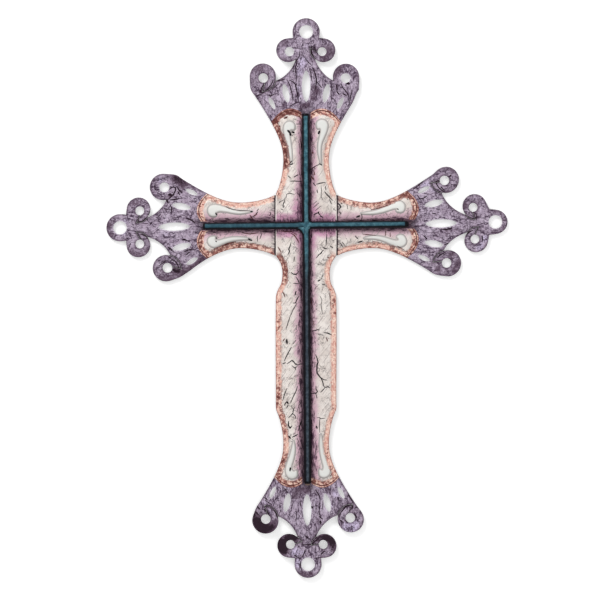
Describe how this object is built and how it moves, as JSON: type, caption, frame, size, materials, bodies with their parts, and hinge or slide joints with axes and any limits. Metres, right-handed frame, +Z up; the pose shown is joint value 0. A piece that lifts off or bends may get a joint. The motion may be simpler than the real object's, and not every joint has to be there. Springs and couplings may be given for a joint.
{
  "type": "wall cross",
  "caption": "Painted sheet-steel wall cross with pierced scroll finials, embossed panels and a round-bar cross over them.",
  "frame": {"origin": "centre of the nail hole in the top finial's ring, on the wall plane that the crossbar's back touches", "axes": "+X to the right and +Z up as the cross hangs, +Y into the wall, so the front faces -Y"},
  "size_m": [0.3449, 0.0093, 0.481],
  "materials": {
    "sheet_paint": "brushed satin paint, cream, mauve and copper, crackled",
    "bar_paint": "brushed satin paint, dark teal"
  },
  "bodies": {
    "root": {"upright": "sheet_paint", "crossbar": "sheet_paint", "upright_rod": "bar_paint", "left_arm_rod": "bar_paint", "right_arm_rod": "bar_paint"}
  },
  "joints": []
}
